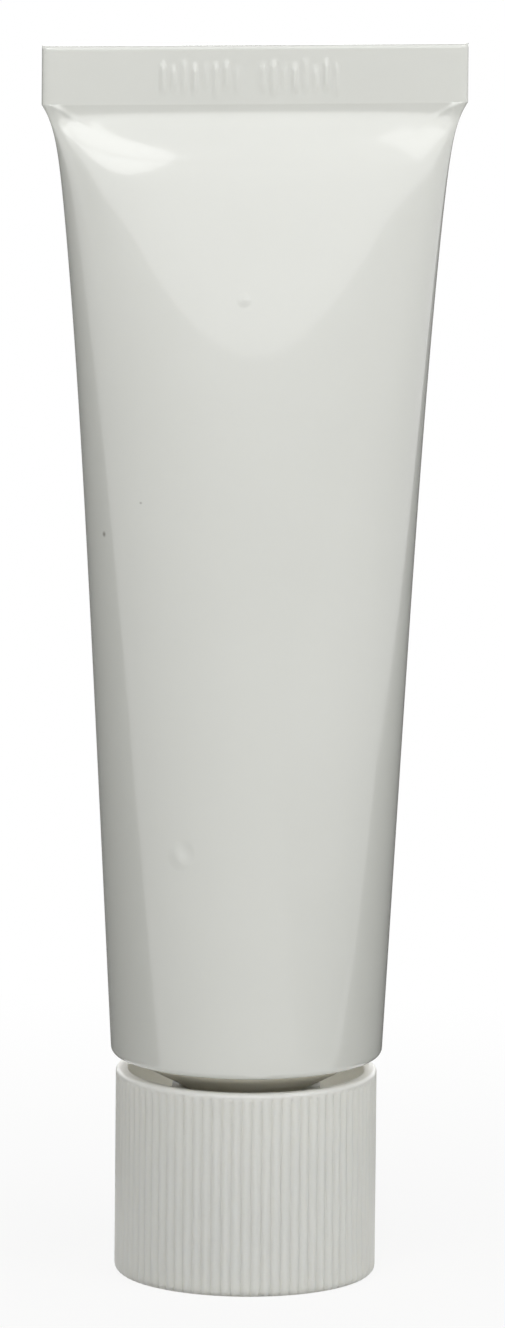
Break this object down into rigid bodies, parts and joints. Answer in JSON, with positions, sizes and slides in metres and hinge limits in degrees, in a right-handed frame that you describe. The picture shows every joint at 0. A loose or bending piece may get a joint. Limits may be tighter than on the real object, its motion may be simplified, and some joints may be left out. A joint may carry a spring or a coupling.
{
  "type": "cream tube",
  "caption": "Full squeeze tube of cream with a flat welded end, standing on its wide ribbed screw cap.",
  "frame": {"origin": "centre of the cap's closed end, the flat face that the tube stands on", "axes": "+Z along the tube's axis from the cap to the sealed end, X along the width of the flat seal, -Y the side that faces the camera"},
  "size_m": [0.0392, 0.0248, 0.1152],
  "materials": {
    "sleeve_laminate": "smooth glossy white laminate, slightly cool",
    "head_plastic": "satin natural white polyethylene",
    "cap_plastic": "satin cream white polypropylene",
    "wad_foam": "matte white foamed polyethylene"
  },
  "bodies": {
    "cap": {"cap": "cap_plastic"},
    "wad": {"sealing_wad": "wad_foam"},
    "tube": {"filled_sleeve": "sleeve_laminate", "head": "head_plastic"}
  },
  "joints": [
    {"name": "unscrew", "type": "hinge", "parent": "cap", "child": "wad", "pos_m": [0, 0, 0.0085], "axis": [0, 0, 1], "range_deg": [0, 900]},
    {"name": "rise", "type": "slide", "parent": "wad", "child": "tube", "axis": [0, 0, 1], "range_m": [0, 0.005]}
  ],
  "couplings": [
    {"joint": "rise", "follows": "unscrew", "m_per_rad": 0.0003183}
  ]
}
